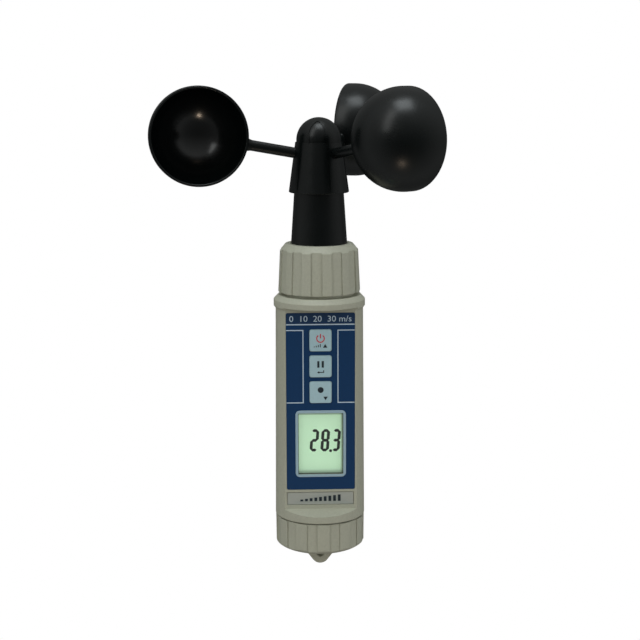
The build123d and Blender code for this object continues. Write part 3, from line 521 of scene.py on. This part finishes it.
def lathe(bm, profile, segments):
    """Adds a turned skin to a mesh from a run of (radius, height) points about the local Z axis."""
    rings = []
    for radius, height in profile:
        circle = [(0, 0)] if radius == 0 else arc(0, 0, radius, 0, 360, segments)[:-1]
        rings.append([bm.verts.new((x, y, height)) for x, y in circle])
    for low, high in zip(rings, rings[1:]):
        for k in range(segments):
            n = (k + 1) % segments
            corners = [low[k % len(low)], low[n % len(low)], high[n % len(high)], high[k % len(high)]]
            bm.faces.new(list(dict.fromkeys(corners)))


def tube_of_rings(bm, rings):
    """Closed skin over a row of equal rings of points."""
    rows = [[bm.verts.new(p) for p in ring] for ring in rings]
    count = len(rows[0])
    for low, high in zip(rows, rows[1:]):
        for k in range(count):
            n = (k + 1) % count
            bm.faces.new((low[k], low[n], high[n], high[k]))
    bm.faces.new(rows[0][::-1])
    bm.faces.new(rows[-1])


# ---- camera -------------------------------------------------------------------------

def make_camera():
    azimuth = math.radians(CAMERA_AZIMUTH)
    heading = math.radians(CAMERA_AZIMUTH + CAMERA_YAW)
    pitch = math.radians(CAMERA_PITCH)
    roll = math.radians(CAMERA_ROLL)
    level = math.cos(pitch)
    forward = Vector((math.sin(heading) * level, math.cos(heading) * level, -math.sin(pitch)))
    right = Vector((math.cos(heading), -math.sin(heading), 0))
    up = right.cross(forward)
    x_axis = right * math.cos(roll) + up * math.sin(roll)
    y_axis = up * math.cos(roll) - right * math.sin(roll)
    x = -math.sin(azimuth) * CAMERA_DISTANCE
    y = -math.cos(azimuth) * CAMERA_DISTANCE
    place = Vector((x, y, CAMERA_HEIGHT)) * MM
    camera = bpy.data.objects.new("camera", bpy.data.cameras.new("camera"))
    camera.data.lens = CAMERA_LENS
    camera.data.sensor_width = CAMERA_SENSOR
    camera.data.clip_start = CAMERA_NEAR * MM
    turn = Matrix((x_axis, y_axis, -forward)).transposed().to_4x4()
    camera.matrix_world = Matrix.Translation(place) @ turn
    bpy.context.scene.collection.objects.link(camera)
    bpy.context.scene.camera = camera


# ---- pieces ----------------------------------------------------------------------------

def flare_rings(root, along, mouth):
    """Rings of points round an arm that widen towards its cup."""
    upright = mouth.cross(along)
    start, end = FLARE_SPAN
    turn = [2 * math.pi * k / FLARE_SIDES for k in range(FLARE_SIDES)]
    rings = []
    for k in range(FLARE_STEPS + 1):
        share = k / FLARE_STEPS
        growth = FLARE_GROWTH * share ** 2 * MM
        middle = root + along * (start + (end - start) * share) * MM
        wide = mouth * (ARM_HALF_W * MM + growth * FLARE_SIDEWAYS)
        tall = upright * (ARM_HALF_H * MM + growth)
        rings.append([middle + wide * math.cos(t) + tall * math.sin(t) for t in turn])
    return rings


def wind_cup(number, angle_deg, outside, inside):
    """One cup with the small flare where its arm enters it."""
    node = "cup_%d" % number
    low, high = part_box(node)
    radius = (high.z - low.z) / 2
    centre_z = (high.z + low.z) / 2
    a = math.radians(angle_deg)
    out = Vector((math.cos(a), math.sin(a), 0))
    mouth = Vector((-math.sin(a), math.cos(a), 0))
    centre = out * CUP_ORBIT * MM + Vector((0, 0, centre_z))
    bm = bmesh.new()
    lathe(bm, cup_outline(radius, CUP_WALL * MM, CUP_LIP * MM), CUP_SEGMENTS)
    for face in bm.faces:
        middle = face.calc_center_median()
        inner = middle.z < 0 and middle.length < radius - CUP_WALL * MM / 2
        face.material_index = 1 if inner else 0
    placed = Matrix((out, mouth.cross(out), mouth)).transposed().to_4x4()
    bmesh.ops.transform(bm, matrix=Matrix.Translation(centre) @ placed, verts=bm.verts)
    root = Vector((0, 0, ARM_ROOT_Z * MM))
    tube_of_rings(bm, flare_rings(root, (centre - root).normalized(), mouth))
    bmesh.ops.recalc_face_normals(bm, faces=bm.faces)
    cup = object_from("wind_cup_%d" % number, bm)
    cup.data.shade_smooth()
    cup.data.set_sharp_from_angle(angle=math.radians(SMOOTH_BELOW))
    own(cup, "rotor", outside)
    cup.data.materials.append(inside)
    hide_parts(node)


def panel_print(pale, header):
    """Header band with its scale, the rule under it, and the two side frames."""
    low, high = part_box("front_overlay")
    face = low.y
    left = low.x / MM + PRINT_INSET
    right = high.x / MM - PRINT_INSET
    top = high.z / MM
    band = round_topped(left, HEADER_LINE_Z, right, top - PRINT_INSET, HEADER_CORNER)
    printed("header_band", [band], face, "handle", header, BAND_INK)
    half = HEADER_LINE_T / 2
    rule = bar(left, HEADER_LINE_Z - half, right, HEADER_LINE_Z + half)
    printed("header_rule", [rule], face, "handle", pale)
    half = FRAME_LINE_T / 2
    lines = []
    for side, edge in ((-1, left), (1, right)):
        inner = side * FRAME_INNER_X
        reach = inner + side * half
        for z in (FRAME_HIGH_Z, FRAME_LOW_Z):
            lines.append(bar(min(edge, reach), z - half, max(edge, reach), z + half))
        lines.append(bar(inner - half, FRAME_LOW_Z - half, inner + half, FRAME_HIGH_Z + half))
    printed("side_frames", lines, face, "handle", pale)
    lettering("header_scale", HEADER_TEXT, 0, (HEADER_LINE_Z + top) / 2, (HEADER_TEXT_W, HEADER_TEXT_H),
              face - BAND_INK * MM, "handle", pale)


def key_marks(dark, red):
    """Generic pictures, drawn about the middle of each key."""
    def on_key(node, name, outlines, material):
        low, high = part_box(node)
        middle = (low.z + high.z) / 2 / MM
        moved = [[(x, z + middle) for x, z in outline] for outline in outlines]
        printed(name, moved, low.y, node, material)

    power = [arc_band(x=0, z=0.9, radius=1.7, width=0.5, start_deg=125, end_deg=415),
             bar(-0.25, 1.0, 0.25, 3.0)]
    on_key("power_key", "power_mark", power, red)
    on_key("power_key", "up_mark", [arrow_head(x=2.1, base=-3.3, tip=-1.6)], dark)
    steps = rising_bars(left=-3.0, foot=-3.1, count=4, pitch=0.9, width=0.4, height=0.4, growth=0.35)
    on_key("power_key", "log_mark", steps, dark)
    pause = [bar(-1.5, -0.5, -0.5, 2.5), bar(0.5, -0.5, 1.5, 2.5)]
    on_key("hold_key", "pause_mark", pause, dark)
    enter = [[(-1.6, -2.7), (-0.6, -2.1), (-0.6, -3.3)],
             bar(-0.6, -2.9, 1.6, -2.5), bar(1.2, -2.5, 1.6, -1.7)]
    on_key("hold_key", "enter_mark", enter, dark)
    on_key("record_key", "record_mark", [disc(x=0, z=1.1, radius=1.35)], dark)
    on_key("record_key", "down_mark", [arrow_head(x=2.2, base=-2.0, tip=-3.7)], dark)


def plate_marks(dark):
    """Rising bars in the middle of the plate."""
    low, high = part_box("name_plate")
    row = (PLATE_BARS - 1) * PLATE_BAR_PITCH + PLATE_BAR_W
    left = (low.x + high.x) / 2 / MM - row / 2
    bars = rising_bars(left, low.z / MM + PLATE_BAR_FOOT, PLATE_BARS, PLATE_BAR_PITCH,
                       PLATE_BAR_W, PLATE_BAR_H, PLATE_BAR_GROWTH)
    printed("level_bars", bars, low.y, "handle", dark)


def segment_outlines(digit, left, low):
    """Seven-segment strokes of one digit with pointed ends, leaning to the right."""
    half = DIGIT_STROKE / 2
    x0 = left + half
    x1 = x0 + DIGIT_W - DIGIT_STROKE
    z0 = low + half
    height = (DIGIT_H - DIGIT_STROKE) / 2

    def across(z):
        return [(x0, z), (x0 + half, z - half), (x1 - half, z - half),
                (x1, z), (x1 - half, z + half), (x0 + half, z + half)]

    def upright(x, z):
        top = z + height
        return [(x, z), (x + half, z + half), (x + half, top - half),
                (x, top), (x - half, top - half), (x - half, z + half)]

    shapes = {
        "a": across(z0 + 2 * height), "g": across(z0 + height), "d": across(z0),
        "f": upright(x0, z0 + height), "e": upright(x0, z0),
        "b": upright(x1, z0 + height), "c": upright(x1, z0),
    }
    return [[(x + (z - low) * DIGIT_LEAN, z) for x, z in shapes[s]] for s in SEGMENTS[digit]]


def display_digits(dark):
    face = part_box("lcd_glass")[0].y
    digits = READING.replace(".", "")
    before_point = READING.index(".") - 1
    outlines = []
    for k, digit in enumerate(digits):
        still_to_come = len(digits) - 1 - k
        left = DIGIT_LAST_RIGHT - DIGIT_H * DIGIT_LEAN - DIGIT_W - still_to_come * DIGIT_PITCH
        outlines += segment_outlines(digit, left, DIGIT_LOW_Z)
        if k == before_point:
            point_x = left + DIGIT_W + POINT_GAP
            outlines.append(disc(point_x, DIGIT_LOW_Z + POINT_RISE, POINT_R, POINT_SIDES))
    printed("display_digits", outlines, face, "handle", dark, DIGIT_INK)


# ---- stage --------------------------------------------------------------------------------

def make_stage():
    """White round floor that curves up into a wall on all sides, well below the held object."""
    bend = arc(STAGE_RADIUS - STAGE_BEND, STAGE_FLOOR + STAGE_BEND, STAGE_BEND, -90, 0, STAGE_BEND_STEPS)
    profile = [(0, STAGE_FLOOR)] + bend + [(STAGE_RADIUS, STAGE_FLOOR + STAGE_WALL)]
    bm = bmesh.new()
    lathe(bm, profile, STAGE_SEGMENTS)
    obj = object_from("backdrop", bm)
    obj.data.shade_smooth()
    shader = Shader("backdrop_white", (0.0, 0.0, 0.0, 1.0), 1.0, specular=0.0)
    shader.surface.inputs["Emission Color"].default_value = (1, 1, 1, 1)
    shader.surface.inputs["Emission Strength"].default_value = 1.0
    obj.data.materials.append(shader.material)
    obj.visible_diffuse = False
    obj.visible_glossy = False
    obj.visible_transmission = False
    obj.visible_shadow = False


def softbox(name, azimuth, elevation, distance, size, power, colour, reflected):
    """Area light that faces the object: azimuth from the front towards +X, in degrees."""
    azimuth = math.radians(azimuth)
    elevation = math.radians(elevation)
    level = math.cos(elevation)
    towards = Vector((math.sin(azimuth) * level, -math.cos(azimuth) * level, math.sin(elevation)))
    light = bpy.data.lights.new(name, "AREA")
    light.shape = "RECTANGLE"
    light.size, light.size_y = size
    light.energy = power
    light.color = colour
    obj = bpy.data.objects.new(name, light)
    obj.location = Vector(LIGHT_TARGET) + towards * distance
    obj.rotation_euler = (-towards).to_track_quat("-Z", "Y").to_euler()
    obj.visible_glossy = reflected
    bpy.context.scene.collection.objects.link(obj)


def make_world():
    """Dim room: darkest in front of the panel and behind, brighter at both sides and overhead."""
    world = bpy.data.worlds.new("studio")
    bpy.context.scene.world = world
    world.use_nodes = True
    nodes = world.node_tree.nodes
    links = world.node_tree.links
    split = nodes.new("ShaderNodeSeparateXYZ")
    links.new(nodes.new("ShaderNodeTexCoord").outputs["Generated"], split.inputs["Vector"])

    def level(axis, stops):
        place = nodes.new("ShaderNodeMapRange")
        place.inputs["From Min"].default_value = -1
        links.new(split.outputs[axis], place.inputs["Value"])
        ramp = nodes.new("ShaderNodeValToRGB")
        set_stops(ramp, [(p, (*(grey * c for c in ROOM_TINT), 1)) for p, grey in stops])
        links.new(place.outputs["Result"], ramp.inputs["Fac"])
        return ramp.outputs["Color"]

    total = nodes.new("ShaderNodeVectorMath")
    total.operation = "ADD"
    links.new(level("Y", ROOM), total.inputs[0])
    links.new(level("Z", CEILING), total.inputs[1])
    links.new(total.outputs["Vector"], nodes["Background"].inputs["Color"])


# ---- put together -----------------------------------------------------------------------------

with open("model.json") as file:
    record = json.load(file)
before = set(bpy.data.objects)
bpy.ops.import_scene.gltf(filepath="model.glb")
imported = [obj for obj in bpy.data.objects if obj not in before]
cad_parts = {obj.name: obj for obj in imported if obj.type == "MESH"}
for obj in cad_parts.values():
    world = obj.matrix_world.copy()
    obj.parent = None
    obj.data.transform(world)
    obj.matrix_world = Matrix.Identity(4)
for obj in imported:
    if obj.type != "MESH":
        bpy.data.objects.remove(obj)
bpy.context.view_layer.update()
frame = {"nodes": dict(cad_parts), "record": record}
bpy.context.scene.view_settings.view_transform = "Standard"
make_camera()

black = moulded_black()
white = plain_plastic("white_moulding", srgb(222, 222, 216))
dark_ink = ink("dark_ink", INK_DARK)

slot_materials = {
    "handle_beige": beige_plastic("moulded_beige", 0.22),
    "collar_grip": beige_plastic("grip_beige", 0.5),
    "rotor_black": black,
    "panel_blue": panel_film(),
    "key_grey": key_plastic(),
    "frame_silver": silver_band(),
    "plate_metal": satin_plate(),
    "lens_clear": clear_lens(),
    "lcd_green": lcd_face(),
    "backlight_white": white,
    "holder_white": white,
    "board_green": board(),
    "chip_black": plain_plastic("black_epoxy", srgb(30, 30, 32), 0.5),
    "steel_bright": bright_steel(),
    "brass_nickel": plated_spring(),
    "magnet_dark": sintered_magnet(),
    "rubber_black": rubber("rubber_black", srgb(24, 26, 26)),
    "rubber_grey": rubber("rubber_grey", srgb(104, 104, 104)),
    "cradle_black": plain_plastic("cradle_black", srgb(36, 36, 38)),
    "cell_jacket": cell_jacket(),
    "lead_grey": rubber("lead_grey", srgb(92, 92, 98)),
    "cage_nylon": plain_plastic("cage_nylon", srgb(214, 206, 180)),
}
for part in frame["record"]["subparts"]:
    node = frame["nodes"][part["node"]]
    node.data.materials.clear()
    node.data.materials.append(slot_materials[part["material_slot"]])

polished = polished_black()
for number, angle_deg in enumerate(CUP_ANGLES, start=1):
    wind_cup(number, angle_deg, black, polished)
panel_print(ink("pale_ink", PRINT_PALE), ink("header_ink", HEADER_BLUE, 0.42))
key_marks(dark_ink, ink("red_ink", INK_RED))
plate_marks(dark_ink)
display_digits(ink("display_ink", INK_DISPLAY, 0.35))
make_stage()
for light in LIGHTS:
    softbox(*light)
make_world()
